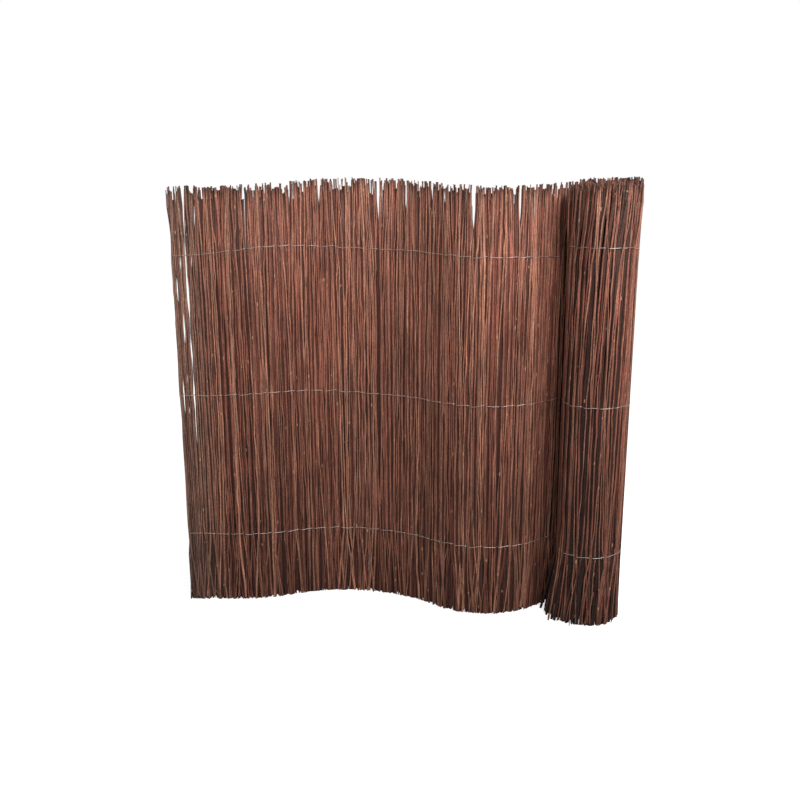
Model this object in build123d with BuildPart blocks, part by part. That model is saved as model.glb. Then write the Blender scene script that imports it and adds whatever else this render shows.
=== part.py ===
"""A garden screen of thin unpeeled willow rods, bound into a mat by three rows of wire.

About half of the mat stands open in a shallow wave, and the rest is still rolled up beside it.
Millimetres, +Z up, +X along the screen from its free end to the roll, +Y away from the front.
The origin lies on the ground under the middle of the whole screen.

The rods are one ridged wall: each ridge is a rod of eight flats, which runs a little into the
next one. Their tips are ragged, and slits show between the bundles where the rods spread.
Each row of binding has two strands, one on each face of the mat, which meet at its two ends.
A strand is pulled straight across a bundle of rods, and bends between one bundle and the next.
"""

import os
from math import cos, degrees, pi, radians, sqrt

from build123d import *

# The mat
screen_height = 1500  # from the ground to the longest tips
mat_length = 2900  # of the whole mat, if it were laid out flat
rod_pitch = 12.5  # from one ridge to the next, along the mat
rod_thickness = 15  # across the flats of the thickest ridge
rod_thinning = 1.5  # how much thinner the thinnest ridge is
rod_stagger = 1.2  # how far a ridge may stand out of line with the mat
rods_per_bundle = 4

# Ragged ends
tip_wave = 24  # how far the line of the tips sinks and rises along the mat
tip_wave_length = 1050
tip_wave_low = 100  # from the free end to the first low of that line
tallest_rod = 50  # counted from the free end
tip_spread = 26  # how far below that line the shortest tips end
foot_spread = 9  # a third of it lies between the feet on the ground and the next ones up

# The plan of the open part, from its free end to the roll
free_run = 161  # straight, at the free end
first_hollow_radius = 550
wide_bow_radius = 515
second_hollow_radius = 270
roll_side_radius = 268  # where the mat turns into the roll
open_bends = (
    (first_hollow_radius, 21.9),
    (wide_bow_radius, -62),
    (second_hollow_radius, 82.2),
    (roll_side_radius, -36.6),
)  # each bend's radius, and its turn to the left in degrees

# The roll
core_radius = 39  # from the roll's middle to the middle of the innermost turn
turn_gap = 5  # between the strands on one turn and those on the next

# Slits between bundles
tip_slit_width = 5
tip_slit_depth = 170  # of the deepest slit between tips
foot_slit_width = 5
foot_slit_depth = 110  # of the deepest slit between feet
long_slit_width = 4
long_slit_length = 280
long_slit_bundles = 6  # bundles at the free end that stand apart between the rows
cut_margin = 1  # how far a cutter reaches past the mat

# Binding
wire_thickness = 1.6  # across its flats
wire_rows = {"top": 1256, "middle": 764, "bottom": 255}  # heights above the ground
stray_places = (0, 370, 740, 1120, 1490, 1800)  # along the mat, the last one on the roll's front
row_strays = {
    "top": (-10, 20, 6, -7, -13, 29),
    "middle": (3, 10, -5, -6, -5, 9),
    "bottom": (4, -1, -4, 0, 3, -2),
}  # how far above its height a row runs at each of those places
wire_clearance = 0.2  # between a strand and the thickest ridges

rod_count = round(mat_length / rod_pitch)
bundle_width = rods_per_bundle * rod_pitch
bundle_count = rod_count // rods_per_bundle
half_wall = rod_thickness / 2 + rod_stagger
strand_offset = half_wall + wire_clearance + wire_thickness / 2
turn_pitch = 2 * strand_offset + wire_thickness + turn_gap


def uneven(number, step=0.618034):
    """A share from 0 to 1 that jumps about from one number to the next, the same way each time."""
    return number * step % 1


def bends_of_mat():
    """Each stretch of the mat's plan from the free end on, as its length and its bend to the left.

    A bend is one over its radius. The roll is half turns, each tighter by half a turn's pitch.
    """
    stretches = [(free_run, 0)]
    for radius, turn in open_bends:
        length = radius * radians(abs(turn))
        stretches.append((length, radians(turn) / length))
    left = bundle_count * bundle_width - sum(length for length, bend in stretches)
    radius = sqrt((core_radius + turn_pitch / 4) ** 2 + left * turn_pitch / pi) - turn_pitch / 4
    while left > 0:
        length = min(pi * radius, left)
        stretches.append((length, -1 / radius))
        radius -= turn_pitch / 2
        left -= length
    return stretches


stretches = bends_of_mat()
open_length = sum(length for length, bend in stretches[: len(open_bends) + 1])

with BuildLine() as mat_line:
    run = Line((0, 0), (free_run, 0))
    for length, bend in stretches[1:]:
        run = JernArc(run @ 1, run % 1, abs(1 / bend), degrees(length * bend))
mat_path = mat_line.wire()


def along(distance):
    """The place on the ground at that distance along the mat: its X runs on, its Y points left."""
    spot = mat_path.position_at(distance, PositionMode.LENGTH)
    heading = mat_path.tangent_at(distance, PositionMode.LENGTH)
    return Plane(spot, x_dir=heading, z_dir=(0, 0, 1))


def bend_at(distance):
    """The mat's bend to the left at that distance along it."""
    for length, bend in stretches:
        if distance < length:
            break
        distance -= length
    return bend


def through_wall(distance, outline, depth):
    """A cutter through the wall at that distance, of that outline along and up the wall."""
    ground = along(distance)
    with BuildPart() as cutter:
        with BuildSketch(Plane(ground.origin, x_dir=ground.x_dir, z_dir=-ground.y_dir)):
            with BuildLine():
                Polyline(*outline, close=True)
            make_face()
        extrude(amount=depth, both=True)
    return cutter.part


def tip_height(rod):
    """Where the mat ends at the top at that rod: a slow wave along it, less the rod's own lack."""
    swing = 2 * pi * (rod * rod_pitch - tip_wave_low) / tip_wave_length
    lack = tip_spread * uneven(rod - tallest_rod, 0.7548777)
    return screen_height - tip_wave * (1 + cos(swing)) / 2 - lack


def bundle_of_rods(bundle):
    """The ridges between two slits, as one piece of wall whose tips slope to or from one rod."""
    first = bundle * rods_per_bundle
    turning = (bundle * 3 + 2) % rods_per_bundle
    foot = foot_spread * (bundle // 2 % 3) / 3
    left, right, above = -bundle_width, bundle_width, screen_height + cut_margin
    sky = [(right, above), (left, above), (left, tip_height(first - 3))]
    sky.append(((turning + 0.5) * rod_pitch - bundle_width / 2, tip_height(first + turning)))
    sky.append((right, tip_height(first + rods_per_bundle + 2)))
    with BuildPart() as rods:
        with BuildSketch(Plane.XY.offset(foot)):
            for rod in range(first, first + rods_per_bundle):
                across = rod_thickness - rod_thinning * uneven(rod)
                out = rod_stagger * (2 * uneven(rod, 0.5698403) - 1)
                with Locations(along((rod + 0.5) * rod_pitch).location * Pos(0, out, 0)):
                    RegularPolygon(across / 2, 8, major_radius=False, rotation=22.5)
        extrude(amount=above - foot)
        add(through_wall((bundle + 0.5) * bundle_width, sky, bundle_width), mode=Mode.SUBTRACT)
    return rods.part


def slit(bundle, outline):
    """A slit through the wall where a bundle begins."""
    return through_wall(bundle * bundle_width, outline, half_wall + cut_margin)


def tip_slit(bundle):
    """A wedge that opens upwards between two bundles' tips."""
    half, mouth = tip_slit_width / 2, screen_height + cut_margin
    depth = tip_slit_depth * (0.35 + 0.65 * uneven(bundle, 0.414))
    return slit(bundle, [(-half, mouth), (half, mouth), (0, screen_height - depth)])


def foot_slit(bundle):
    """A wedge that opens downwards between two bundles' feet."""
    half = foot_slit_width / 2
    depth = foot_slit_depth * (0.35 + 0.65 * uneven(bundle, 0.732))
    return slit(bundle, [(-half, -cut_margin), (half, -cut_margin), (0, depth)])


def long_slit(bundle, low_row, high_row):
    """A lens between two rows of binding, where the first bundles stand apart."""
    middle = (wire_rows[low_row] + wire_rows[high_row]) / 2
    half, reach = long_slit_width / 2, long_slit_length / 2
    return slit(bundle, [(0, middle - reach), (half, middle), (0, middle + reach), (-half, middle)])


with BuildPart() as reed_mat:
    add([bundle_of_rods(bundle) for bundle in range(bundle_count)])
    slits = [tip_slit(bundle) for bundle in range(1, bundle_count)]
    slits += [foot_slit(bundle) for bundle in range(2, bundle_count, 2)]
    for bundle in range(1, long_slit_bundles + 1):
        slits.append(long_slit(bundle, "bottom", "middle"))
        slits.append(long_slit(bundle, "middle", "top"))
    add(slits, mode=Mode.SUBTRACT)
reed_mat.part.label = "reed_mat"


def row_height(row, distance):
    """The height of a row of binding at that distance along the mat, its stray in whole millimetres."""
    strays = row_strays[row]
    stray = strays[-1]
    for start, end, before, after in zip(stray_places, stray_places[1:], strays, strays[1:]):
        if start <= distance < end:
            share = (1 - cos(pi * (distance - start) / (end - start))) / 2
            stray = before + (after - before) * share
    return wire_rows[row] + round(stray)


def strand_corners(side):
    """A strand's corners on the left face of the mat, side 1, or on its right face, side -1.

    Each is a distance along the mat, and how far from there it lies along and across the mat.
    The strand bends between bundles, and within the roll also half way across each.
    Where the mat bulges towards it, its corners stand off far enough for its runs to clear it.
    """
    places = [bundle * bundle_width for bundle in range(bundle_count + 1)]
    places += [place - bundle_width / 2 for place in places if place - bundle_width > open_length]
    places.sort()
    corners = [(0, (-strand_offset, 0)), (0, (-strand_offset, side * strand_offset))]
    for before, place, after in zip(places, places[1:], places[2:] + places[-1:]):
        out = strand_offset
        reach = max(place - before, after - place) / 2
        bulge = max(-side * bend_at(spot) for spot in (place - reach, place, place + reach))
        if bulge > 0:
            out = (strand_offset + 1 / bulge) / cos(bulge * reach) - 1 / bulge
        corners.append((place, (0, side * out)))
    corners += [(places[-1], (strand_offset, side * strand_offset)), (places[-1], (strand_offset, 0))]
    return corners


def strand(row, face, side):
    """One strand of a row of binding, bent round the mat's ends to meet its fellow."""
    points = []
    for distance, (onward, out) in strand_corners(side):
        points.append(along(distance).from_local_coords((onward, out, row_height(row, distance))))
    with BuildPart() as wire:
        with BuildLine() as path:
            Polyline(*points)
        with BuildSketch(Plane(path.wire() @ 0, z_dir=path.wire() % 0)):
            RegularPolygon(wire_thickness / 2, 6, major_radius=False)
        sweep(path=path.wire(), transition=Transition.RIGHT)
    wire.part.label = f"{row}_wire_{face}"
    return wire.part


pieces = [reed_mat.part]
for row in wire_rows:
    pieces.append(strand(row, "front", -1))
    pieces.append(strand(row, "back", 1))

middle = Compound(pieces).bounding_box().center()
os.makedirs("parts", exist_ok=True)
for piece in pieces:
    export_step(Pos(-middle.X, -middle.Y, 0) * piece, f"parts/{piece.label}.step")
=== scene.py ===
"""Dresses the willow screen: separate rods with their bark, and rows of two twisted wires.

Metres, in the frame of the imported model: +X runs from the free end to the roll, +Y is away from the
front, and the ground is at Z 0.
"""

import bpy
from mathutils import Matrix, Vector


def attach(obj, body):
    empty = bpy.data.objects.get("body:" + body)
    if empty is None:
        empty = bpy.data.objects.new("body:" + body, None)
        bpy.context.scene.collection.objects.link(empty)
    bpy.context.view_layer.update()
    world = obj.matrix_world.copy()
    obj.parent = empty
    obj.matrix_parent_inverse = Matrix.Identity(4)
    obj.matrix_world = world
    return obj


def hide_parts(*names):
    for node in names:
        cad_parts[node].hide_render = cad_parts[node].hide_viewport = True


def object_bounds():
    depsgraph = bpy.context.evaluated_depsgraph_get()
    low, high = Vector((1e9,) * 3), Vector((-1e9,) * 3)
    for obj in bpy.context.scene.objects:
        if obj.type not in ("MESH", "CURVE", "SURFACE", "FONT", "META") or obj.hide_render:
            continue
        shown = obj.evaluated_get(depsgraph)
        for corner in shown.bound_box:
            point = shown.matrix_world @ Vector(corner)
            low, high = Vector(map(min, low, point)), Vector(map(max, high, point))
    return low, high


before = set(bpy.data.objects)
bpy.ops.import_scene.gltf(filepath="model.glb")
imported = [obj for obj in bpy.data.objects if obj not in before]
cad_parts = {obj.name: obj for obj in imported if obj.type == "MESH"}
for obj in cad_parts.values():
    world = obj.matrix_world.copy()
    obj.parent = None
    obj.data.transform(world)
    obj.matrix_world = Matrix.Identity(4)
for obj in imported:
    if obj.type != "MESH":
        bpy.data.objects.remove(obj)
cad_box = [list(corner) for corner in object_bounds()]

from math import cos, pi, radians, sin, sqrt

import bpy
from bpy.props import FloatProperty, FloatVectorProperty, IntProperty, PointerProperty
from mathutils import Matrix, Vector

bl_info = {
    "name": "Willow screen",
    "version": (1, 0, 0),
    "blender": (4, 5, 0),
    "location": "3D View > Sidebar > Willow screen",
    "description": "Rods and binding of a half-rolled willow screen",
    "category": "Object",
}

# The plan line of the mat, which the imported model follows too
FREE_END = (-0.760518, 0.057371)
FREE_RUN = 0.161
OPEN_BENDS = ((0.55, 21.9), (0.515, -62), (0.27, 82.2), (0.268, -36.6))  # radius, turn in degrees
CORE_RADIUS = 0.039
TURN_PITCH = 0.026
MAT_LENGTH = 2.9
PLAN_STEP = 0.004  # from one point of the line to the next

# Rods that stand together, along the mat: all that a wire goes round, and fewer at the loose end
BUNDLE_WIDTH = 0.05
CLUMP_WIDTH = 0.016

# Wedges between bundles' tips: the number of the bundle after each, and the height where it starts
WEDGES = {
    1: 1.365, 6: 1.42, 10: 1.39, 14: 1.335, 16: 1.345, 18: 1.37, 21: 1.315, 24: 1.32, 27: 1.365
}
WEDGE_HALF = 0.0085  # half of a wedge at its widest
BORDER_SLACK = 0.02  # how far rods may cross a border well below its wedge
NO_WEDGE = 2.0  # a start above the tips

# Rows of binding: their heights, and how far above them each runs at some places along the mat
WIRE_ROWS = {"top": 1.256, "middle": 0.764, "bottom": 0.255}
ROW_SPACING = (WIRE_ROWS["top"] - WIRE_ROWS["bottom"]) / 2
STRAY_PLACES = (0, 0.37, 0.74, 1.12, 1.49, 1.8)
ROW_STRAYS = {
    "top": (-0.010, 0.020, 0.006, -0.007, -0.013, 0.029),
    "middle": (0.003, 0.010, -0.005, -0.006, -0.005, 0.009),
    "bottom": (0.004, -0.001, -0.004, 0, 0.003, -0.002),
}

# The layers of rods, and the side of the mat's middle on which each lies
LAYERS = {"front": -1, "middle": 0, "back": 1}
LAYER_SPREAD = 0.3  # how far a rod may stand out of its layer, in half mats
LAYER_SEEDS = 1000  # between the seeds of two layers

# How a rod lies
TIP_WAVE_LENGTH = 1.05
TIP_WAVE_LOW = 0.1  # from the free end to the first low of the tips
FOOT_LIFT = 0.0014  # of the lowest feet above the ground
FOOT_RARITY = 3.0  # the higher it is, the fewer feet end high up
BOW_REACH = 1.15  # where a rod stops bowing, in row spacings from the middle row
LOOSE_HOLD = 0.75  # share of its bow and crooks that a rod lacks at the loose end
CROOKS_PER_METRE = 6.0
CROOKS_APART = 5.3  # in the noise, from one rod to the next
TIP_FAN = 0.5  # how fast tips fan out beside feet
UPPER_LEAN = 0.35  # how fast the roll's rods lean above the middle row, beside their tips
LEAN_ACROSS = 0.006  # slope across the mat, past the outer rows
SLIP_HEIGHTS = (0.3, 0.9)  # between these a bundle begins to lean, and leans fully
SLIT_HEIGHTS = (0.55, 0.8)  # between these the slits at the loose end open
CLUMP_NOISE = (7.7, 1.9, 0)  # how far the noise goes on to the next clump, and in a metre up
PARTED_NOISE = (0.44, 0.6)  # where a slit begins to open, and where it is widest
BOX_ROOM = 0.0055  # between a rod's middle line and the side of the model's box
FLARE_FOCUS = 2.0  # the higher it is, the fewer of the roll's feet flare

# A rod's form
ROD_SEGMENTS = 26
ROD_SIDES = 8
THICK_RARITY = 1.4  # the higher it is, the fewer rods are thick
BUTT_DOWN = 0.6  # share of the rods that stand on their thick end
TAPER = (1.12, 0.7)  # thickness at the butt and at the thin end
SWELLINGS_PER_METRE = 14.0
SWELLINGS_APART = 3.7  # in the noise, from one rod to the next
SWELLING = 0.1  # share by which a rod swells and thins
END_FACING = 0.7  # faces that look up or down more than this are sawn ends
SEEDS_APART = 17.0  # between the seeds of two things that differ from rod to rod
NOISE_SPAN = (0.3, 0.7)  # most of what a noise texture gives

# Sizes in the middle layer, which closes the gaps, and in the roll, beside the settings
MIDDLE_SPACING = 0.6
MIDDLE_SLIP = 0.12
MIDDLE_FAN = 0.03
MIDDLE_TIP_SPREAD = 2.2
ROLL_SPACING = 1.15
ROLL_SLIP = 1.25

# Tones from 0 to 1: the middle layer's palest, which keeps its rods dark as painted shade in the gaps
# between the outer rods, and the outer layers' darkest and palest
OPEN_TONES = (0.22, 0.24, 0.96)
ROLL_TONES = (0.02, 0.04, 0.8)

# Bark: how far light and dark swing in its patterns, and how strong each mark is, from 0 to 1
BARK_APART = 9.0  # how far apart two rods may lie in the patterns
PATCH_SWING = 0.45
STREAK_SWING = 0.4
BROAD_SWING = 0.2
SOIL_AND_SHADE_DEPTH = (2.25, -2.0)  # power of the darkening from soil and painted shade on the darkest rods, and what tone adds
LOOSE_GREY = 0.6
PORE_STRENGTH = 0.25
SCAR_STRENGTH = 0.8
SCARS_LEFT_OUT = 0.9  # share of the scars' pattern

# A strand of wire
WIRE_STEP = 0.0035  # from one point of a strand to the next
WIRE_SIDES = 6
WRAP_SHARPNESS = 2.2  # how soon a strand is back on a bundle's face after a crossing
CROSSING_LIFT = 0.6  # how far above or below its fellow it crosses, in wire thicknesses
WANDERS_PER_METRE = 5.0

# The stage
FLOOR_EDGE = 9  # from its middle
LAMP_SIZE = (2.4, 0.8)
LAMP_PLACE = (1.5, -1.9, 2.9)
LAMP_AIM = (0.1, 0, 0.9)
SENSOR_WIDTH = 36  # millimetres

# Kinds of node that are used often
MATH, VECTOR = "ShaderNodeMath", "ShaderNodeVectorMath"
MIX, NOISE, SPAN = "ShaderNodeMix", "ShaderNodeTexNoise", "ShaderNodeMapRange"
KNOWN = "GeometryNodeInputNamedAttribute"


def linear(hex_colour):
    """An sRGB hex colour as the linear red, green, blue and alpha that a shader reads."""
    shares = [int(hex_colour[place : place + 2], 16) / 255 for place in (1, 3, 5)]
    return [s / 12.92 if s <= 0.04045 else ((s + 0.055) / 1.055) ** 2.4 for s in shares] + [1]


def node(tree, kind, inputs={}, **settings):
    """Adds a node with those settings and inputs, by name or number.

    An input is a value, an output that feeds it, or a node, whose first output then feeds it.
    """
    made = tree.nodes.new(kind)
    for name, value in settings.items():
        setattr(made, name, value)
    for key, value in inputs.items():
        socket = made.inputs[key]
        if isinstance(key, str):
            socket = next(s for s in made.inputs if s.name == key and s.enabled)
        if isinstance(value, bpy.types.Node):
            value = next(output for output in value.outputs if output.enabled)
        if isinstance(value, bpy.types.NodeSocket):
            tree.links.new(value, socket)
        else:
            socket.default_value = value
    return made


# The plan line


def plan_stretches():
    """Each stretch of the plan line as its length and its bend to the left, one over its radius."""
    stretches = [(FREE_RUN, 0)]
    for radius, turn in OPEN_BENDS:
        length = radius * radians(abs(turn))
        stretches.append((length, radians(turn) / length))
    left = MAT_LENGTH - sum(length for length, bend in stretches)
    quarter = TURN_PITCH / 4
    radius = sqrt((CORE_RADIUS + quarter) ** 2 + left * TURN_PITCH / pi) - quarter
    while left > 0:
        length = min(pi * radius, left)
        stretches.append((length, -1 / radius))
        radius -= TURN_PITCH / 2
        left -= length
    return stretches


def plan_place(stretches, distance):
    """The place on the ground at that distance along the mat."""
    x, y, heading = *FREE_END, 0.0
    for length, bend in stretches:
        step = min(distance, length)
        if bend:
            x += (sin(heading + bend * step) - sin(heading)) / bend
            y += (cos(heading) - cos(heading + bend * step)) / bend
        else:
            x += step * cos(heading)
            y += step * sin(heading)
        heading += bend * step
        distance -= step
        if distance <= 0:
            break
    return x, y, 0


def stray_of(row, distance):
    """How far above its height a row of binding runs at that distance along the mat."""
    strays = ROW_STRAYS[row]
    for start, end, before, after in zip(STRAY_PLACES, STRAY_PLACES[1:], strays, strays[1:]):
        if start <= distance < end:
            share = (1 - cos(pi * (distance - start) / (end - start))) / 2
            return before + (after - before) * share
    return strays[-1]


def plan_object(name, start, end, row="middle"):
    """A chain of edges along the plan line from start to end.

    Its points know how far along they lie, and how far that row of binding strays there.
    """
    stretches = plan_stretches()
    count = round((end - start) / PLAN_STEP)
    places = [start + (end - start) * step / count for step in range(count + 1)]
    mesh = bpy.data.meshes.new(name)
    points = [plan_place(stretches, place) for place in places]
    mesh.from_pydata(points, [(step, step + 1) for step in range(count)], [])
    along = mesh.attributes.new("along", "FLOAT", "POINT")
    along.data.foreach_set("value", places)
    stray = mesh.attributes.new("stray", "FLOAT", "POINT")
    stray.data.foreach_set("value", [stray_of(row, place) for place in places])
    piece = bpy.data.objects.new(name, mesh)
    bpy.context.scene.collection.objects.link(piece)
    return piece


# Geometry trees


def new_tree(name, kinds):
    """An empty geometry tree with a geometry going in and out, and inputs of those kinds."""
    tree = bpy.data.node_groups.new(name, "GeometryNodeTree")
    tree.interface.new_socket("Geometry", in_out="OUTPUT", socket_type="NodeSocketGeometry")
    tree.interface.new_socket("Geometry", in_out="INPUT", socket_type="NodeSocketGeometry")
    for label, kind in kinds.items():
        tree.interface.new_socket(label, in_out="INPUT", socket_type="NodeSocket" + kind)
    return tree


def swung(tree, noise, swing):
    """A factor that goes that far either side of 1 with the noise."""
    low, high = NOISE_SPAN
    spans = {"From Min": low, "From Max": high, "To Min": 1 - swing, "To Max": 1 + swing}
    return node(tree, SPAN, {"Value": noise.outputs[0], **spans})


def rod_tree():
    """Rods set side by side along a line, each with its own thickness, taper, bow and ends.

    Each row of binding holds a rod at a place of its own, so that it bows and crosses its
    neighbours between the rows, and fans out past them. The rods of one bundle also lean together.
    """
    shares_and_lengths = (
        "Rod Spacing", "Thinnest", "Thickest", "Mat Half", "Side", "Height", "Tip Wave",
        "Tip Spread", "Foot Spread", "Slip", "Crook", "Fan", "Bundle Fan", "Bundle Slip",
        "Loose Length", "Loose Slip", "Slit Width", "Wedge Slope", "Top Lean", "Foot Lean",
        "Foot Flare", "Darkest", "Palest",
    )
    kinds = dict.fromkeys(shares_and_lengths, "Float")
    kinds.update(dict.fromkeys(("Segments", "Sides", "Seed"), "Int"))
    kinds.update(dict.fromkeys(("Bark", "Cut End"), "Material"))
    tree = new_tree("Willow rods", kinds)
    given = node(tree, "NodeGroupInput").outputs

    # Where the rods stand
    line = node(tree, "GeometryNodeMeshToCurve", {"Mesh": given["Geometry"]})
    spots = node(
        tree,
        "GeometryNodeCurveToPoints",
        {"Curve": line, "Length": given["Rod Spacing"]},
        mode="LENGTH",
    )
    known = spots.outputs["Points"]
    number = node(tree, "GeometryNodeInputIndex")
    stored = (("rod", "INT", number), ("run", "FLOAT_VECTOR", spots.outputs["Tangent"]))
    for label, kind, value in stored:
        known = node(
            tree,
            "GeometryNodeStoreNamedAttribute",
            {"Geometry": known, "Name": label, "Value": value},
            data_type=kind,
            domain="POINT",
        )
    rod = node(tree, KNOWN, {"Name": "rod"}, data_type="INT")
    run = node(tree, KNOWN, {"Name": "run"}, data_type="FLOAT_VECTOR")
    along = node(tree, KNOWN, {"Name": "along"}, data_type="FLOAT")

    # What differs from rod to rod, and what a bundle's rods share
    ranges = {
        "thickness": (0, 1),
        "flip": (0, 1),
        "tip": (0, 1),
        "foot": (0, 1),
        "bottom": (-1, 1),
        "middle": (-1, 1),
        "top": (-1, 1),
        "depth": (-LAYER_SPREAD, LAYER_SPREAD),
        "fan": (-1, 1),
        "lean": (-1, 1),
        "tone": (0, 1),
        "shift": (0, 1),
    }
    luck = {}
    for salt, (label, (low, high)) in enumerate(ranges.items()):
        seed = node(tree, MATH, {0: given["Seed"], 1: salt * SEEDS_APART}, operation="ADD")
        luck[label] = node(
            tree,
            "FunctionNodeRandomValue",
            {"Min": low, "Max": high, "ID": rod, "Seed": seed},
            data_type="FLOAT",
        )
    bundle = node(tree, MATH, {0: along, 1: BUNDLE_WIDTH}, operation="DIVIDE")
    bundle = node(tree, MATH, {0: bundle}, operation="FLOOR")
    shared = {}
    for label, seed in (("fan", 5), ("slip", 23)):
        shared[label] = node(
            tree,
            "FunctionNodeRandomValue",
            {"Min": -1.0, "Max": 1.0, "ID": bundle, "Seed": seed},
            data_type="FLOAT",
        )

    # How near the loose end is, from 0 to 1
    loose = node(tree, MATH, {0: along, 1: given["Loose Length"]}, operation="DIVIDE")
    loose = node(tree, MATH, {0: 1.0, 1: loose}, operation="SUBTRACT")
    loose = node(tree, MATH, {0: loose, 1: 0.0}, operation="MAXIMUM")

    # One upright line for each rod
    upright = node(tree, "GeometryNodeCurvePrimitiveLine", {"Start": (0, 0, 0), "End": (0, 0, 1)})
    joints = node(tree, MATH, {0: given["Segments"], 1: 1.0}, operation="ADD")
    upright = node(
        tree, "GeometryNodeResampleCurve", {"Curve": upright, "Count": joints}, mode="COUNT"
    )
    rods = node(tree, "GeometryNodeInstanceOnPoints", {"Points": known, "Instance": upright})
    rods = node(tree, "GeometryNodeRealizeInstances", {"Geometry": rods})
    share = node(tree, "GeometryNodeSplineParameter").outputs["Factor"]

    # Its tip, foot and thickness
    phase = node(tree, MATH, {0: along, 1: TIP_WAVE_LOW}, operation="SUBTRACT")
    phase = node(tree, MATH, {0: phase, 1: 2 * pi / TIP_WAVE_LENGTH}, operation="MULTIPLY")
    wave = node(tree, MATH, {0: phase}, operation="COSINE")
    wave = node(tree, MATH, {0: wave, 1: 0.5, 2: 0.5}, operation="MULTIPLY_ADD")
    wave = node(tree, MATH, {0: wave, 1: given["Tip Wave"]}, operation="MULTIPLY")
    tip = node(
        tree, MATH, {0: luck["tip"], 1: given["Tip Spread"], 2: wave}, operation="MULTIPLY_ADD"
    )
    tip = node(tree, MATH, {0: given["Height"], 1: tip}, operation="SUBTRACT")
    foot = node(tree, MATH, {0: luck["foot"], 1: FOOT_RARITY}, operation="POWER")
    foot = node(
        tree, MATH, {0: foot, 1: given["Foot Spread"], 2: FOOT_LIFT}, operation="MULTIPLY_ADD"
    )
    height = node(tree, SPAN, {"Value": share, "To Min": foot, "To Max": tip}, clamp=False)
    thickness = node(tree, MATH, {0: luck["thickness"], 1: THICK_RARITY}, operation="POWER")
    radius = node(
        tree, SPAN, {"Value": thickness, "To Min": given["Thinnest"], "To Max": given["Thickest"]}
    )
    radius = node(tree, MATH, {0: radius, 1: 0.5}, operation="MULTIPLY")

    # Its place along the mat: a bow through where each row holds it, and crooks some 17 cm long
    turn = node(tree, MATH, {0: height, 1: WIRE_ROWS["middle"]}, operation="SUBTRACT")
    turn = node(tree, MATH, {0: turn, 1: ROW_SPACING}, operation="DIVIDE")
    turn = node(tree, "ShaderNodeClamp", {"Value": turn, "Min": -BOW_REACH, "Max": BOW_REACH})
    slope = node(tree, MATH, {0: luck["top"], 1: luck["bottom"]}, operation="SUBTRACT")
    slope = node(tree, MATH, {0: slope, 1: 0.5}, operation="MULTIPLY")
    bow = node(tree, MATH, {0: luck["top"], 1: luck["bottom"]}, operation="ADD")
    bow = node(tree, MATH, {0: bow, 1: 0.5}, operation="MULTIPLY")
    bow = node(tree, MATH, {0: bow, 1: luck["middle"]}, operation="SUBTRACT")
    bowed = node(tree, MATH, {0: turn, 1: bow, 2: slope}, operation="MULTIPLY_ADD")
    bowed = node(tree, MATH, {0: turn, 1: bowed, 2: luck["middle"]}, operation="MULTIPLY_ADD")
    bowed = node(tree, MATH, {0: bowed, 1: given["Slip"]}, operation="MULTIPLY")
    steady = node(tree, MATH, {0: loose, 1: -LOOSE_HOLD, 2: 1.0}, operation="MULTIPLY_ADD")
    bowed = node(tree, MATH, {0: bowed, 1: steady}, operation="MULTIPLY")
    crook = node(tree, MATH, {0: height, 1: CROOKS_PER_METRE}, operation="MULTIPLY")
    crook = node(tree, MATH, {0: rod, 1: CROOKS_APART, 2: crook}, operation="MULTIPLY_ADD")
    crook = node(tree, NOISE, {"W": crook, "Detail": 1.0}, noise_dimensions="1D")
    crook = node(tree, MATH, {0: crook.outputs[0], 1: 0.5}, operation="SUBTRACT")
    crook = node(tree, MATH, {0: crook, 1: steady}, operation="MULTIPLY")
    sideways = node(tree, MATH, {0: crook, 1: given["Crook"], 2: bowed}, operation="MULTIPLY_ADD")

    # Past the outer rows it fans out, its bundle leans, and the roll's rods lean the same way
    above = node(tree, MATH, {0: height, 1: WIRE_ROWS["top"]}, operation="SUBTRACT")
    above = node(tree, MATH, {0: above, 1: 0.0}, operation="MAXIMUM")
    below = node(tree, MATH, {0: WIRE_ROWS["bottom"], 1: height}, operation="SUBTRACT")
    below = node(tree, MATH, {0: below, 1: 0.0}, operation="MAXIMUM")
    past = node(tree, MATH, {0: above, 1: TIP_FAN, 2: below}, operation="MULTIPLY_ADD")
    fan = node(tree, MATH, {0: luck["fan"], 1: given["Fan"]}, operation="MULTIPLY")
    sideways = node(tree, MATH, {0: fan, 1: past, 2: sideways}, operation="MULTIPLY_ADD")
    apart = node(tree, MATH, {0: shared["fan"], 1: given["Bundle Fan"]}, operation="MULTIPLY")
    sideways = node(tree, MATH, {0: apart, 1: above, 2: sideways}, operation="MULTIPLY_ADD")
    upper = node(tree, MATH, {0: height, 1: WIRE_ROWS["middle"]}, operation="SUBTRACT")
    upper = node(tree, MATH, {0: upper, 1: 0.0}, operation="MAXIMUM")
    upper = node(tree, MATH, {0: upper, 1: UPPER_LEAN, 2: above}, operation="MULTIPLY_ADD")
    for reach, slope in ((upper, "Top Lean"), (below, "Foot Lean")):
        uneven = node(tree, MATH, {0: luck["tip"], 1: given[slope]}, operation="MULTIPLY")
        sideways = node(tree, MATH, {0: uneven, 1: reach, 2: sideways}, operation="MULTIPLY_ADD")
    low, high = SLIP_HEIGHTS
    rise = node(tree, SPAN, {"Value": height, "From Min": low, "From Max": high})
    together = node(
        tree,
        MATH,
        {0: loose, 1: given["Loose Slip"], 2: given["Bundle Slip"]},
        operation="MULTIPLY_ADD",
    )
    together = node(tree, MATH, {0: together, 1: shared["slip"]}, operation="MULTIPLY")
    sideways = node(tree, MATH, {0: together, 1: rise, 2: sideways}, operation="MULTIPLY_ADD")

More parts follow.
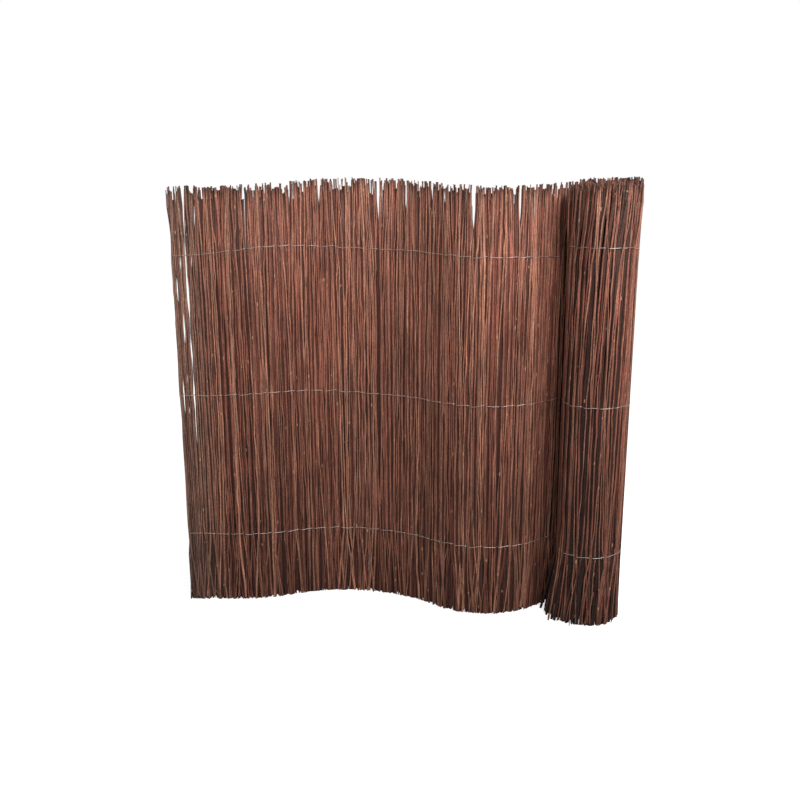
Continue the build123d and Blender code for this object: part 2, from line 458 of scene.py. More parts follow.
    # Clumps of rods part in slits at the loose end, in the same places in every layer
    low, high = SLIT_HEIGHTS
    opened = node(tree, SPAN, {"Value": height, "From Min": low, "From Max": high})
    opened = node(tree, MATH, {0: opened, 1: loose}, operation="MULTIPLY")
    clump = node(tree, MATH, {0: along, 1: CLUMP_WIDTH}, operation="DIVIDE")
    clump_start = node(tree, MATH, {0: clump}, operation="FLOOR")
    within = node(tree, MATH, {0: clump}, operation="FRACT")
    low, high = PARTED_NOISE
    for end, push in ((0.0, 0.5), (1.0, -0.5)):
        edge = node(tree, MATH, {0: clump_start, 1: end}, operation="ADD")
        edge = node(tree, "ShaderNodeCombineXYZ", {"X": edge, "Y": height})
        edge = node(tree, VECTOR, {0: edge, 1: CLUMP_NOISE}, operation="MULTIPLY")
        edge = node(tree, NOISE, {"Vector": edge, "Detail": 0.0}, noise_dimensions="2D")
        edge = edge.outputs[0]
        parted = node(tree, SPAN, {"Value": edge, "From Min": low, "From Max": high})
        near = node(tree, MATH, {0: within, 1: 1.0 - end}, operation="SUBTRACT")
        near = node(tree, MATH, {0: near}, operation="ABSOLUTE")
        push = node(tree, MATH, {0: near, 1: push}, operation="MULTIPLY")
        push = node(tree, MATH, {0: push, 1: given["Slit Width"]}, operation="MULTIPLY")
        push = node(tree, MATH, {0: push, 1: parted}, operation="MULTIPLY")
        push = node(tree, MATH, {0: push, 1: opened}, operation="MULTIPLY")
        sideways = node(tree, MATH, {0: sideways, 1: push}, operation="ADD")

    # Wedges open upwards between some bundles' tips, and no rod crosses them
    for end, keep_out, sign in ((0.0, "MAXIMUM", 1.0), (1.0, "MINIMUM", -1.0)):
        border = node(tree, MATH, {0: bundle, 1: end}, operation="ADD")
        start = NO_WEDGE
        for number, low in WEDGES.items():
            here = node(tree, MATH, {0: border, 1: float(number), 2: 0.5}, operation="COMPARE")
            start = node(
                tree, MATH, {0: here, 1: low - NO_WEDGE, 2: start}, operation="MULTIPLY_ADD"
            )
        wedge = node(tree, MATH, {0: height, 1: start}, operation="SUBTRACT")
        wedge = node(tree, MATH, {0: wedge, 1: given["Wedge Slope"]}, operation="MULTIPLY")
        wedge = node(
            tree, "ShaderNodeClamp", {"Value": wedge, "Min": -BORDER_SLACK, "Max": WEDGE_HALF}
        )
        limit = node(tree, MATH, {0: border, 1: BUNDLE_WIDTH}, operation="MULTIPLY")
        limit = node(tree, MATH, {0: limit, 1: along}, operation="SUBTRACT")
        limit = node(tree, MATH, {0: wedge, 1: sign, 2: limit}, operation="MULTIPLY_ADD")
        sideways = node(tree, MATH, {0: sideways, 1: limit}, operation=keep_out)

    # Its place across the mat: in its layer, leaning a little past the outer rows
    layer = node(tree, MATH, {0: given["Side"], 1: luck["depth"]}, operation="ADD")
    layer = node(tree, "ShaderNodeClamp", {"Value": layer, "Min": -1.0, "Max": 1.0})
    deep = node(tree, MATH, {0: given["Mat Half"], 1: radius}, operation="SUBTRACT")
    layer = node(tree, MATH, {0: layer, 1: deep}, operation="MULTIPLY")
    lean = node(tree, MATH, {0: luck["lean"], 1: past}, operation="MULTIPLY")
    outwards = node(tree, MATH, {0: lean, 1: LEAN_ACROSS, 2: layer}, operation="MULTIPLY_ADD")

    # The feet that face the open part flare towards it
    out = node(tree, VECTOR, {0: (0, 0, 1), 1: run}, operation="CROSS_PRODUCT")
    facing = node(tree, VECTOR, {0: out, 1: (-1, 0, 0)}, operation="DOT_PRODUCT").outputs["Value"]
    facing = node(tree, MATH, {0: facing, 1: 0.0}, operation="MAXIMUM")
    facing = node(tree, MATH, {0: facing, 1: FLARE_FOCUS}, operation="POWER")
    facing = node(tree, MATH, {0: facing, 1: luck["tip"]}, operation="MULTIPLY")
    flare = node(tree, MATH, {0: facing, 1: given["Foot Flare"]}, operation="MULTIPLY")
    outwards = node(tree, MATH, {0: flare, 1: below, 2: outwards}, operation="MULTIPLY_ADD")

    shift_run = node(tree, VECTOR, {0: run, "Scale": sideways}, operation="SCALE")
    shift_out = node(tree, VECTOR, {0: out, "Scale": outwards}, operation="SCALE")
    shift = node(tree, VECTOR, {0: shift_run, 1: shift_out}, operation="ADD")
    ground = node(tree, "GeometryNodeInputPosition")
    ground = node(tree, VECTOR, {0: ground, 1: (1, 1, 0)}, operation="MULTIPLY")
    lifted = node(tree, "ShaderNodeCombineXYZ", {"Z": height})
    place = node(tree, VECTOR, {0: ground, 1: lifted}, operation="ADD")
    place = node(tree, VECTOR, {0: place, 1: shift}, operation="ADD")
    low, high = (Vector(corner) for corner in cad_box)
    room = Vector((BOX_ROOM, BOX_ROOM, 0))
    place = node(tree, VECTOR, {0: place, 1: low + room}, operation="MAXIMUM")
    place = node(tree, VECTOR, {0: place, 1: high - room}, operation="MINIMUM")

    # Its taper, butt down or butt up, with faint swellings where buds grew
    flip = node(tree, MATH, {0: luck["flip"], 1: BUTT_DOWN}, operation="GREATER_THAN")
    butt = node(tree, MATH, {0: share, 1: flip}, operation="SUBTRACT")
    butt = node(tree, MATH, {0: butt}, operation="ABSOLUTE")
    thick, thin = TAPER
    taper = node(tree, SPAN, {"Value": butt, "To Min": thick, "To Max": thin})
    buds = node(tree, MATH, {0: height, 1: SWELLINGS_PER_METRE}, operation="MULTIPLY")
    buds = node(tree, MATH, {0: rod, 1: SWELLINGS_APART, 2: buds}, operation="MULTIPLY_ADD")
    buds = node(tree, NOISE, {"W": buds, "Detail": 1.0}, noise_dimensions="1D")
    buds = swung(tree, buds, SWELLING)
    width = node(tree, MATH, {0: radius, 1: taper}, operation="MULTIPLY")
    width = node(tree, MATH, {0: width, 1: buds}, operation="MULTIPLY")
    from_tip = node(tree, MATH, {0: tip, 1: height}, operation="SUBTRACT")
    tone = node(
        tree, SPAN, {"Value": luck["tone"], "To Min": given["Darkest"], "To Max": given["Palest"]}
    )
    marks = {
        "rod_tone": tone,
        "rod_shift": luck["shift"],
        "from_tip": from_tip,
        "weathering": loose,
    }
    for label, value in marks.items():
        rods = node(
            tree,
            "GeometryNodeStoreNamedAttribute",
            {"Geometry": rods, "Name": label, "Value": value},
            data_type="FLOAT",
            domain="POINT",
        )
    rods = node(tree, "GeometryNodeSetCurveRadius", {"Curve": rods, "Radius": width})
    rods = node(tree, "GeometryNodeSetPosition", {"Geometry": rods, "Position": place})
    section = node(
        tree,
        "GeometryNodeCurvePrimitiveCircle",
        {"Resolution": given["Sides"], "Radius": 1.0},
        mode="RADIUS",
    )
    width = node(tree, "GeometryNodeInputRadius")
    rods = node(
        tree,
        "GeometryNodeCurveToMesh",
        {
            "Curve": rods,
            "Profile Curve": section.outputs["Curve"],
            "Scale": width,
            "Fill Caps": True,
        },
    )

    # Round sides and flat cut ends
    upwards = node(tree, "GeometryNodeInputNormal")
    upwards = node(tree, "ShaderNodeSeparateXYZ", {"Vector": upwards}).outputs["Z"]
    upwards = node(tree, MATH, {0: upwards}, operation="ABSOLUTE")
    is_end = node(tree, MATH, {0: upwards, 1: END_FACING}, operation="GREATER_THAN")
    is_side = node(tree, MATH, {0: 1.0, 1: is_end}, operation="SUBTRACT")
    smooth = {"Geometry": rods, "Shade Smooth": is_side}
    rods = node(tree, "GeometryNodeSetShadeSmooth", smooth, domain="FACE")
    rods = node(tree, "GeometryNodeRealizeInstances", {"Geometry": rods})
    rods = node(tree, "GeometryNodeSetMaterial", {"Geometry": rods, "Material": given["Bark"]})
    rods = node(
        tree,
        "GeometryNodeSetMaterial",
        {"Geometry": rods, "Selection": is_end, "Material": given["Cut End"]},
    )
    node(tree, "NodeGroupOutput", {"Geometry": rods})
    return tree


def wire_tree():
    """One strand along a line: in front of one bundle, across its fellow, behind the next."""
    lengths = ("Row Height", "Stand Off", "Bundle Width", "Phase", "Wire Thickness", "Wander")
    kinds = dict.fromkeys(lengths, "Float")
    kinds["Material"] = "Material"
    tree = new_tree("Twisted strand", kinds)
    given = node(tree, "NodeGroupInput").outputs
    line = node(tree, "GeometryNodeMeshToCurve", {"Mesh": given["Geometry"]})
    line = node(
        tree, "GeometryNodeResampleCurve", {"Curve": line, "Length": WIRE_STEP}, mode="LENGTH"
    )
    along = node(tree, KNOWN, {"Name": "along"}, data_type="FLOAT")
    run = node(tree, "GeometryNodeInputTangent")
    out = node(tree, VECTOR, {0: (0, 0, 1), 1: run}, operation="CROSS_PRODUCT")

    turn = node(tree, MATH, {0: along, 1: given["Bundle Width"]}, operation="DIVIDE")
    turn = node(tree, MATH, {0: turn, 1: given["Phase"]}, operation="ADD")
    turn = node(tree, MATH, {0: turn, 1: pi}, operation="MULTIPLY")
    swing = node(tree, MATH, {0: turn}, operation="SINE")
    swing = node(tree, MATH, {0: swing, 1: WRAP_SHARPNESS}, operation="MULTIPLY")
    swing = node(tree, "ShaderNodeClamp", {"Value": swing, "Min": -1.0, "Max": 1.0})
    swing = node(tree, MATH, {0: swing, 1: pi / 2}, operation="MULTIPLY")
    swing = node(tree, MATH, {0: swing}, operation="SINE")
    outwards = node(tree, MATH, {0: swing, 1: given["Stand Off"]}, operation="MULTIPLY")

    # At a crossing one strand passes over the other
    cross = node(tree, MATH, {0: turn}, operation="COSINE")
    cross = node(tree, MATH, {0: cross, 1: given["Wire Thickness"]}, operation="MULTIPLY")
    wander = node(tree, MATH, {0: along, 1: WANDERS_PER_METRE}, operation="MULTIPLY")
    wander = node(tree, NOISE, {"W": wander, "Detail": 0.0}, noise_dimensions="1D")
    wander = node(tree, MATH, {0: wander.outputs[0], 1: 0.5}, operation="SUBTRACT")
    wander = node(tree, MATH, {0: wander, 1: given["Wander"]}, operation="MULTIPLY")
    stray = node(tree, KNOWN, {"Name": "stray"}, data_type="FLOAT")
    height = node(tree, MATH, {0: given["Row Height"], 1: wander}, operation="ADD")
    height = node(tree, MATH, {0: height, 1: stray}, operation="ADD")
    height = node(tree, MATH, {0: cross, 1: CROSSING_LIFT, 2: height}, operation="MULTIPLY_ADD")
    lifted = node(tree, "ShaderNodeCombineXYZ", {"Z": height})
    shift = node(tree, VECTOR, {0: out, "Scale": outwards}, operation="SCALE")
    shift = node(tree, VECTOR, {0: shift, 1: lifted}, operation="ADD")
    strand = node(tree, "GeometryNodeSetPosition", {"Geometry": line, "Offset": shift})
    half = node(tree, MATH, {0: given["Wire Thickness"], 1: 0.5}, operation="MULTIPLY")
    section = node(
        tree,
        "GeometryNodeCurvePrimitiveCircle",
        {"Resolution": WIRE_SIDES, "Radius": half},
        mode="RADIUS",
    )
    strand = node(
        tree,
        "GeometryNodeCurveToMesh",
        {"Curve": strand, "Profile Curve": section.outputs["Curve"], "Fill Caps": True},
    )
    strand = node(tree, "GeometryNodeSetShadeSmooth", {"Geometry": strand, "Shade Smooth": True})
    strand = node(tree, "GeometryNodeRealizeInstances", {"Geometry": strand})
    strand = node(
        tree, "GeometryNodeSetMaterial", {"Geometry": strand, "Material": given["Material"]}
    )
    node(tree, "NodeGroupOutput", {"Geometry": strand})
    return tree


def grow(name, line, tree, sizes):
    """Runs the tree on a line with those inputs, and keeps the result as a plain mesh piece."""
    modifier = line.modifiers.new("Grow", "NODES")
    modifier.node_group = tree
    for item in tree.interface.items_tree:
        if item.in_out == "INPUT" and item.name in sizes:
            modifier[item.identifier] = sizes[item.name]
    bpy.context.view_layer.update()
    graph = bpy.context.evaluated_depsgraph_get()
    mesh = bpy.data.meshes.new_from_object(line.evaluated_get(graph))
    mesh.name = name
    line.modifiers.remove(modifier)
    bpy.data.objects.remove(line)
    piece = bpy.data.objects.new(name, mesh)
    bpy.context.scene.collection.objects.link(piece)
    return piece


# Finishes


def new_finish(name):
    """A material of that name, and its tree with nothing in it yet."""
    material = bpy.data.materials.new(name)
    material.use_nodes = True
    material.node_tree.nodes.clear()
    return material, material.node_tree


def willow_bark(colours):
    """Dry bark of unpeeled willow: thin, satin, drawn out along the rod, and no two rods alike.

    It runs from dark red-brown through grey-brown to tan, with paler pores and a few bud scars.
    """
    material, tree = new_finish("Dry willow bark")
    tone = node(tree, "ShaderNodeAttribute", attribute_name="rod_tone").outputs["Fac"]
    shift = node(tree, "ShaderNodeAttribute", attribute_name="rod_shift").outputs["Fac"]
    place = node(tree, "ShaderNodeTexCoord").outputs["Object"]
    offset = node(tree, "ShaderNodeCombineXYZ", {"Z": shift})
    offset = node(tree, VECTOR, {0: offset, "Scale": BARK_APART}, operation="SCALE")
    up = node(tree, "ShaderNodeSeparateXYZ", {"Vector": place}).outputs["Z"]
    place = node(tree, VECTOR, {0: place, 1: offset.outputs[0]}, operation="ADD")

    ramp = node(tree, "ShaderNodeValToRGB", {"Fac": tone})
    ramp.color_ramp.interpolation = "LINEAR"
    stops = ramp.color_ramp.elements
    stops[0].color = colours[0]
    stops[1].color = colours[-1]
    for number, colour in enumerate(colours[1:-1], 1):
        stops.new(number / (len(colours) - 1)).color = colour

    # Patches 17 mm wide and 80 mm long, and streaks 3 mm wide and 8 mm long
    patches = node(tree, "ShaderNodeMapping", {"Vector": place, "Scale": (60, 60, 12)})
    patches = node(tree, NOISE, {"Vector": patches, "Scale": 1.0, "Detail": 3.0})
    streaks = node(tree, "ShaderNodeMapping", {"Vector": place, "Scale": (340, 340, 130)})
    streaks = node(tree, NOISE, {"Vector": streaks, "Scale": 1.0, "Detail": 4.0})
    light, grain = swung(tree, patches, PATCH_SWING), swung(tree, streaks, STREAK_SWING)
    light = node(tree, MATH, {0: light, 1: grain}, operation="MULTIPLY")

    # Broad patches, 80 mm wide and 330 mm long, which neighbouring rods share
    broad = node(tree, "ShaderNodeTexCoord").outputs["Object"]
    broad = node(tree, "ShaderNodeMapping", {"Vector": broad, "Scale": (13, 13, 3)})
    broad = node(tree, NOISE, {"Vector": broad, "Scale": 1.0, "Detail": 2.0})
    broad = swung(tree, broad, BROAD_SWING)
    light = node(tree, MATH, {0: light, 1: broad}, operation="MULTIPLY")

    # Darker towards the ground and a little lighter near the top, which is soil at the foot and
    # painted light and shade from above; most of all on the darkest rods deep in the mat, painted
    # shade between the rods; and darker at the weathered tips
    # Painted shade and soil: darker towards the ground, most of all on the darkest rods deep in the
    # mat
    soil_and_painted_shade = node(tree, SPAN, {"Value": up, "From Max": 1.4, "To Min": 0.62, "To Max": 1.1})
    deepest, paler = SOIL_AND_SHADE_DEPTH
    depth = node(tree, MATH, {0: tone, 1: paler, 2: deepest}, operation="MULTIPLY_ADD")
    soil_and_painted_shade = node(tree, MATH, {0: soil_and_painted_shade, 1: depth}, operation="POWER")
    light = node(tree, MATH, {0: light, 1: soil_and_painted_shade}, operation="MULTIPLY")
    from_tip = node(tree, "ShaderNodeAttribute", attribute_name="from_tip").outputs["Fac"]
    tips = node(tree, SPAN, {"Value": from_tip, "From Max": 0.03, "To Min": 0.45})
    light = node(tree, MATH, {0: light, 1: tips}, operation="MULTIPLY")

    # The loose end has weathered grey, and all the tops a little
    weathering = node(tree, "ShaderNodeAttribute", attribute_name="weathering").outputs["Fac"]
    weathering = node(tree, MATH, {0: weathering, 1: LOOSE_GREY}, operation="MULTIPLY")
    tops = node(tree, SPAN, {"Value": up, "From Min": 1.1, "From Max": 1.5, "To Max": 0.15})
    weathering = node(tree, MATH, {0: weathering, 1: tops}, operation="MAXIMUM")
    ramp = node(
        tree,
        MIX,
        {"Factor": weathering, "A": ramp.outputs["Color"], "B": linear("#866c5f")},
        data_type="RGBA",
    )
    shade = node(tree, VECTOR, {0: ramp, "Scale": light}, operation="SCALE")

    # Pores 1 mm wide and 2.5 mm long, and a few bud scars of up to 10 mm
    pores = node(tree, "ShaderNodeMapping", {"Vector": place, "Scale": (420, 420, 160)})
    pores = node(tree, "ShaderNodeTexVoronoi", {"Vector": pores, "Scale": 1.0})
    pores = node(tree, MATH, {0: pores.outputs["Distance"], 1: 0.2}, operation="LESS_THAN")
    scars = node(tree, "ShaderNodeMapping", {"Vector": place, "Scale": (50, 50, 30)})
    scars = node(tree, "ShaderNodeTexVoronoi", {"Vector": scars, "Scale": 1.0}).outputs
    rare = node(tree, "ShaderNodeSeparateColor", {"Color": scars["Color"]}).outputs["Red"]
    rare = node(tree, MATH, {0: rare, 1: SCARS_LEFT_OUT}, operation="GREATER_THAN")
    scars = node(tree, MATH, {0: scars["Distance"], 1: 0.19}, operation="LESS_THAN")
    scars = node(tree, MATH, {0: scars, 1: rare}, operation="MULTIPLY")
    pores = node(tree, MATH, {0: pores, 1: PORE_STRENGTH}, operation="MULTIPLY")
    scars = node(tree, MATH, {0: scars, 1: SCAR_STRENGTH}, operation="MULTIPLY")
    marks = node(tree, MATH, {0: pores, 1: scars}, operation="MAXIMUM")
    colour = node(
        tree,
        MIX,
        {"Factor": marks, "A": shade.outputs[0], "B": linear("#c09a7a")},
        data_type="RGBA",
    )
    bump = node(
        tree, "ShaderNodeBump", {"Height": streaks.outputs[0], "Strength": 0.35, "Distance": 0.0006}
    )
    bark = node(
        tree,
        "ShaderNodeBsdfPrincipled",
        {
            "Base Color": colour,
            "Roughness": 0.55,
            "Specular IOR Level": 0.4,
            "Normal": bump,
        },
    )
    node(tree, "ShaderNodeOutputMaterial", {"Surface": bark})
    return material


def cut_willow():
    """Sawn end of a willow rod: pale wood gone grey and brown, rougher than the bark."""
    material, tree = new_finish("Cut willow wood")
    place = node(tree, "ShaderNodeTexCoord").outputs["Object"]
    fibres = node(tree, NOISE, {"Vector": place, "Scale": 700.0, "Detail": 3.0})
    colour = node(
        tree,
        MIX,
        {"Factor": fibres.outputs[0], "A": linear("#5e4a33"), "B": linear("#a08c66")},
        data_type="RGBA",
    )
    wood = node(tree, "ShaderNodeBsdfPrincipled", {"Base Color": colour, "Roughness": 0.8})
    node(tree, "ShaderNodeOutputMaterial", {"Surface": wood})
    return material


def galvanised_steel():
    """Soft galvanised binding wire: zinc skin, drawn smooth, dulled a little by weather."""
    material, tree = new_finish("Galvanised binding wire")
    place = node(tree, "ShaderNodeTexCoord").outputs["Object"]
    spangle = node(tree, NOISE, {"Vector": place, "Scale": 260.0, "Detail": 2.0})
    colour = node(
        tree,
        MIX,
        {"Factor": spangle.outputs[0], "A": linear("#a39c96"), "B": linear("#e0d8d0")},
        data_type="RGBA",
    )
    dull = node(tree, SPAN, {"Value": spangle.outputs[0], "To Min": 0.35, "To Max": 0.6})
    zinc = node(
        tree, "ShaderNodeBsdfPrincipled", {"Base Color": colour, "Metallic": 1.0, "Roughness": dull}
    )
    node(tree, "ShaderNodeOutputMaterial", {"Surface": zinc})
    return material


# Settings


def in_metres(name, description, default, **limits):
    """A setting in metres."""
    return FloatProperty(
        name=name, description=description, default=default, unit="LENGTH", **limits
    )


def as_slope(name, description, default):
    """A setting in metres across for each metre up."""
    return FloatProperty(name=name, description=description, default=default)


def bark_colour(name, description, hex_colour):
    """A setting for one of the colours of the bark."""
    return FloatVectorProperty(
        name=name, description=description, subtype="COLOR", size=4, default=linear(hex_colour)
    )


class RodSettings(bpy.types.PropertyGroup):
    rod_spacing: in_metres(
        "Rod spacing", "From one rod to the next in a layer, along the mat", 0.0061, min=0.004
    )
    thinnest: in_metres("Thinnest", "Thinnest rod at its middle", 0.0040)
    thickest: in_metres("Thickest", "Thickest rod at its middle", 0.0074)
    mat_half: in_metres("Mat half", "From the middle of the mat to the face of a layer", 0.0084)
    height: in_metres("Height", "From the ground to the longest tips", 1.499)
    tip_wave: in_metres("Tip wave", "How far the line of tips sinks", 0.025)
    tip_spread: in_metres("Tip spread", "How much shorter a rod may be than that line", 0.03)
    foot_spread: in_metres("Foot spread", "Highest foot above the ground", 0.014)
    slip: in_metres("Slip", "How far off its place each row holds a rod", 0.0085)
    crook: in_metres("Crook", "Size of the small bends in a rod", 0.011)
    fan: as_slope("Fan", "Slope of a rod past the outer rows", 0.11)
    roll_fan: as_slope("Roll fan", "Slope of a rod past the outer rows of the roll", 0.16)
    roll_top_lean: as_slope("Roll top lean", "Slope of the tips on the roll's front", 0.12)
    roll_foot_lean: as_slope("Roll foot lean", "Slope of the feet on the roll's front", 0.08)
    roll_foot_flare: as_slope("Roll foot flare", "Slope of its feet towards the open part", 0.2)
    bundle_fan: as_slope("Bundle fan", "Slope that the rods of a bundle share", 0.03)
    bundle_slip: in_metres("Bundle slip", "How far the rods of a bundle lean together", 0.001)
    loose_length: in_metres(
        "Loose length", "Length at the free end where the bundles stand apart", 0.15
    )
    loose_slip: in_metres("Loose slip", "How far more the bundles lean there", 0.004)
    slit_width: in_metres("Slit width", "Widest slit between clumps of rods there", 0.0105)
    wedge_slope: as_slope("Wedge slope", "How fast a wedge between tips opens", 0.12)
    seed: IntProperty(name="Seed", description="Changes what differs from rod to rod", default=7)


class BarkSettings(bpy.types.PropertyGroup):
    # The darkest colour mostly colours the middle layer, as painted shade between the outer rods
    darkest: bark_colour("Darkest bark", "Colour of the darkest rods", "#341a14")
    red: bark_colour("Red bark", "Colour of the red-brown rods", "#8c5041")
    brown: bark_colour("Brown bark", "Colour of the plain brown rods", "#985f4c")
    grey: bark_colour("Grey bark", "Colour of the grey-brown rods", "#986855")
    tan: bark_colour("Tan bark", "Colour of the palest rods", "#b98067")


class WireSettings(bpy.types.PropertyGroup):
    thickness: in_metres("Wire thickness", "Across one strand", 0.0016)
    stand_off: in_metres("Stand off", "From the mat's middle to the middle of a strand", 0.0090)
    wander: in_metres("Wander", "Small rise and fall of a row", 0.006)


class StageSettings(bpy.types.PropertyGroup):
    camera_place: FloatVectorProperty(
        name="Camera place",
        description="Where the camera stands",
        subtype="TRANSLATION",
        default=(0.0491, -2.9881, 1.5269),
    )
    camera_turn: FloatVectorProperty(
        name="Camera turn",
        description="How far the camera looks down, to the left, and tilts",
        subtype="EULER",
        default=(radians(14.29), radians(0.92), radians(-0.17)),
    )
    lens: FloatProperty(name="Lens", description="Focal length in millimetres", default=40.98)
    key_power: FloatProperty(
        name="Key power", description="Power of the wide soft lamp", default=104.0, unit="POWER"
    )
    sky: FloatProperty(name="Sky", description="Strength of the even light all round", default=0.42)


# Pieces


def bark_colours(context):
    """The colours of the bark from the darkest rods to the palest."""
    bark = context.scene.willow_bark
    return [list(colour) for colour in (bark.darkest, bark.red, bark.brown, bark.grey, bark.tan)]


def finish_named(name, make, *given):
    """The finish of that name, made when it is first needed."""
    return bpy.data.materials.get(name) or make(*given)


def grow_rods(context, part, start, end, tones, changes):
    """Grows the rods between two places along the mat, one piece for each layer.

    The middle layer is packed closer and straighter, so that the mat is nearly opaque, and its rods
    take only the darkest tones, as painted shade in the gaps between the outer rods.
    """
    rods = context.scene.willow_rods
    middle_shade_palest, darkest, palest = tones
    middle = {
        "Rod Spacing": rods.rod_spacing * MIDDLE_SPACING,
        "Thinnest": rods.thickest,
        "Slip": rods.slip * MIDDLE_SLIP,
        "Crook": rods.crook * MIDDLE_SLIP,
        "Fan": rods.fan * MIDDLE_FAN,
        "Tip Spread": rods.tip_spread * MIDDLE_TIP_SPREAD,
        # The middle layer's rods keep to the darkest tones: painted shade in the gaps between the
        # outer rods
        "Darkest": 0.0,
        "Palest": middle_shade_palest,
    }
    tree = bpy.data.node_groups.get("Willow rods") or rod_tree()
    bark = finish_named("Dry willow bark", willow_bark, bark_colours(context))
    cut = finish_named("Cut willow wood", cut_willow)
    margin = rods.rod_spacing / 2
    for number, (layer, side) in enumerate(LAYERS.items()):
        # A setting feeds the input of its name
        labels = RodSettings.__annotations__
        sizes = {label.replace("_", " ").title(): getattr(rods, label) for label in labels}
        own = {
            "Side": float(side),
            "Top Lean": 0.0,
            "Foot Lean": 0.0,
            "Foot Flare": 0.0,
            "Darkest": darkest,
            "Palest": palest,
            "Segments": ROD_SEGMENTS,
            "Sides": ROD_SIDES,
            "Seed": rods.seed + LAYER_SEEDS * number + round(start * 10),
            "Bark": bark,
            "Cut End": cut,
        }
        sizes.update(own)
        sizes.update(changes)
        if layer == "middle":
            sizes.update(middle)
        line = plan_object(f"{part}_{layer}_line", start + margin, end - margin)
        piece = grow(f"{part}_{layer}_rods", line, tree, sizes)
        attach(piece, "root")
        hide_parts("reed_mat")


def open_length():
    """The length of the mat that isn't rolled up."""
    return FREE_RUN + sum(radius * radians(abs(turn)) for radius, turn in OPEN_BENDS)


class WILLOW_OT_open_rods(bpy.types.Operator):
    """Grows the layers of rods of the open part"""

    bl_idname = "willow.open_rods"
    bl_label = "Open rods"

    def execute(self, context):
        grow_rods(context, "open", 0.0, open_length(), OPEN_TONES, {})
        return {"FINISHED"}


class WILLOW_OT_rolled_rods(bpy.types.Operator):
    """Grows the layers of rods of the roll"""

    bl_idname = "willow.rolled_rods"
    bl_label = "Rolled rods"

    def execute(self, context):
        rods = context.scene.willow_rods
        changes = {
            "Rod Spacing": rods.rod_spacing * ROLL_SPACING,
            "Slip": rods.slip * ROLL_SLIP,
            "Fan": rods.roll_fan,
            "Top Lean": -rods.roll_top_lean,
            "Foot Lean": rods.roll_foot_lean,
            "Foot Flare": rods.roll_foot_flare,
        }
        grow_rods(context, "rolled", open_length(), MAT_LENGTH, ROLL_TONES, changes)
        return {"FINISHED"}


class WILLOW_OT_binding(bpy.types.Operator):
    """Twists two strands of wire round the bundles in each row"""

    bl_idname = "willow.binding"
    bl_label = "Binding"

    def execute(self, context):
        wires = context.scene.willow_wires
        tree = bpy.data.node_groups.get("Twisted strand") or wire_tree()
        zinc = finish_named("Galvanised binding wire", galvanised_steel)
        for row, height in WIRE_ROWS.items():
            for face, phase in (("front", 0.0), ("back", 1.0)):
                sizes = {
                    "Row Height": height,
                    "Stand Off": wires.stand_off,
                    "Bundle Width": BUNDLE_WIDTH,
                    "Phase": phase,
                    "Wire Thickness": wires.thickness,
                    "Wander": wires.wander,
                    "Material": zinc,
                }
                line = plan_object(f"{row}_{face}_line", 0.0, MAT_LENGTH, row)
                piece = grow(f"{row}_strand_{face}", line, tree, sizes)
                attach(piece, "root")
                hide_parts(f"{row}_wire_{face}")
        return {"FINISHED"}


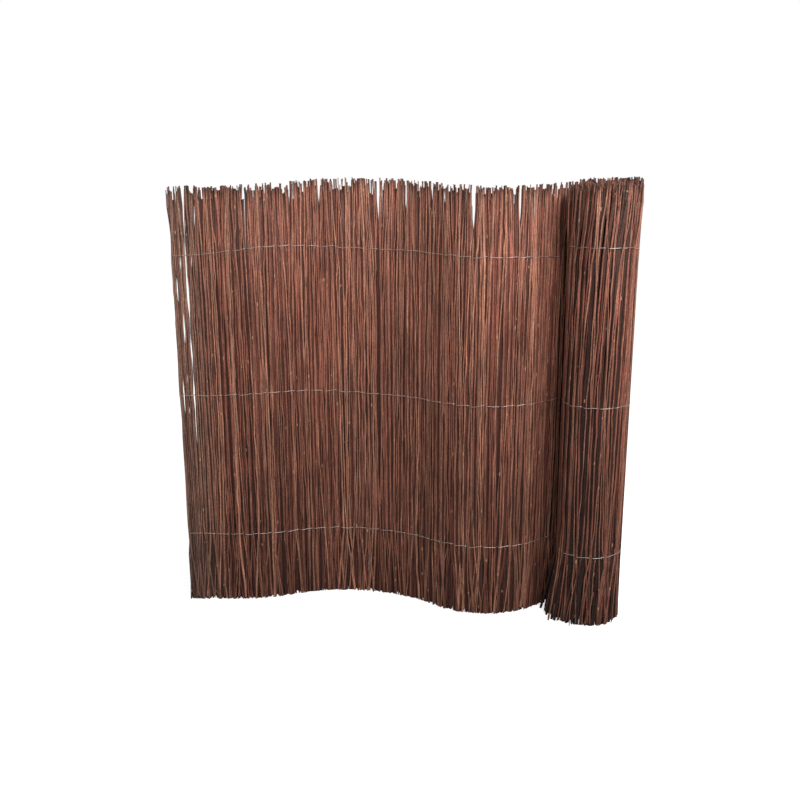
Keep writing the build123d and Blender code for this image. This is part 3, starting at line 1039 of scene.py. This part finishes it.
class WILLOW_OT_stage(bpy.types.Operator):
    """Sets the floor, the lamps, the sky and the camera"""

    bl_idname = "willow.stage"
    bl_label = "Stage"

    def execute(self, context):
        scene, stage = context.scene, context.scene.willow_stage
        scene.view_settings.view_transform = "Standard"

        # Pale floor: matt, and lifted to white where the camera sees it
        mesh = bpy.data.meshes.new("floor")
        edge = FLOOR_EDGE
        corners = [(-edge, -edge, 0), (edge, -edge, 0), (edge, edge, 0), (-edge, edge, 0)]
        mesh.from_pydata(corners, [], [(0, 1, 2, 3)])
        floor = bpy.data.objects.new("floor", mesh)
        scene.collection.objects.link(floor)
        paint, tree = new_finish("Matt white floor")
        seen = node(tree, "ShaderNodeLightPath").outputs["Is Camera Ray"]
        lift = node(tree, MATH, {0: seen, 1: 0.7}, operation="MULTIPLY")
        tint = node(
            tree,
            MIX,
            {"Factor": seen, "A": linear("#8a8a8a"), "B": linear("#e8e8e8")},
            data_type="RGBA",
        )
        matt = node(tree, "ShaderNodeBsdfDiffuse", {"Color": tint})
        glow = node(tree, "ShaderNodeEmission", {"Strength": lift})
        both = node(tree, "ShaderNodeAddShader", {0: matt, 1: glow})
        node(tree, "ShaderNodeOutputMaterial", {"Surface": both})
        mesh.materials.append(paint)

        # Sky: even light, and white wherever it is seen or mirrored
        world = bpy.data.worlds.new("Sky")
        scene.world = world
        world.use_nodes = True
        tree = world.node_tree
        tree.nodes.clear()
        path = node(tree, "ShaderNodeLightPath").outputs
        seen = node(
            tree, MATH, {0: path["Is Camera Ray"], 1: path["Is Glossy Ray"]}, operation="MAXIMUM"
        )
        seen = node(tree, MATH, {0: seen, 1: path["Is Transmission Ray"]}, operation="MAXIMUM")
        strength = node(tree, SPAN, {"Value": seen, "To Min": stage.sky, "To Max": 1.0})
        sky = node(tree, "ShaderNodeBackground", {"Color": (1, 1, 1, 1), "Strength": strength})
        node(tree, "ShaderNodeOutputWorld", {"Surface": sky})

        # One wide soft lamp high in front, a little to the right
        lamp = bpy.data.lights.new("key", "AREA")
        lamp.shape = "RECTANGLE"
        lamp.size, lamp.size_y = LAMP_SIZE
        lamp.energy = stage.key_power
        key = bpy.data.objects.new("key", lamp)
        key.location = LAMP_PLACE
        aim = Vector(LAMP_AIM) - key.location
        key.rotation_euler = aim.to_track_quat("-Z", "Y").to_euler()
        scene.collection.objects.link(key)

        lens = bpy.data.cameras.new("camera")
        lens.sensor_width = SENSOR_WIDTH
        lens.lens = stage.lens
        camera = bpy.data.objects.new("camera", lens)
        camera.location = stage.camera_place
        down, left, tilt = stage.camera_turn
        turn = Matrix.Rotation(left, 3, "Z") @ Matrix.Rotation(pi / 2 - down, 3, "X")
        camera.rotation_euler = (turn @ Matrix.Rotation(tilt, 3, "Z")).to_euler()
        scene.collection.objects.link(camera)
        scene.camera = camera
        return {"FINISHED"}


class WILLOW_PT_panel(bpy.types.Panel):
    """Lists the screen's pieces and sizes"""

    bl_idname = "WILLOW_PT_panel"
    bl_label = "Willow screen"
    bl_space_type = "VIEW_3D"
    bl_region_type = "UI"
    bl_category = "Willow screen"

    def draw(self, context):
        layout = self.layout
        for settings in SETTINGS:
            group = getattr(context.scene, settings)
            box = layout.box()
            for label in group.bl_rna.properties.keys():
                if label not in ("rna_type", "name"):
                    box.prop(group, label)
        for operator in OPERATORS:
            layout.operator(operator.bl_idname)


SETTINGS = {
    "willow_rods": RodSettings,
    "willow_bark": BarkSettings,
    "willow_wires": WireSettings,
    "willow_stage": StageSettings,
}
OPERATORS = (WILLOW_OT_open_rods, WILLOW_OT_rolled_rods, WILLOW_OT_binding, WILLOW_OT_stage)
CLASSES = (*SETTINGS.values(), *OPERATORS, WILLOW_PT_panel)


def register():
    for each in CLASSES:
        bpy.utils.register_class(each)
    for name, group in SETTINGS.items():
        setattr(bpy.types.Scene, name, PointerProperty(type=group))


def unregister():
    for name in SETTINGS:
        delattr(bpy.types.Scene, name)
    for each in reversed(CLASSES):
        bpy.utils.unregister_class(each)


def main():
    register()
    bpy.ops.willow.open_rods()
    bpy.ops.willow.rolled_rods()
    bpy.ops.willow.binding()
    bpy.ops.willow.stage()


if __name__ == "__main__":
    main()
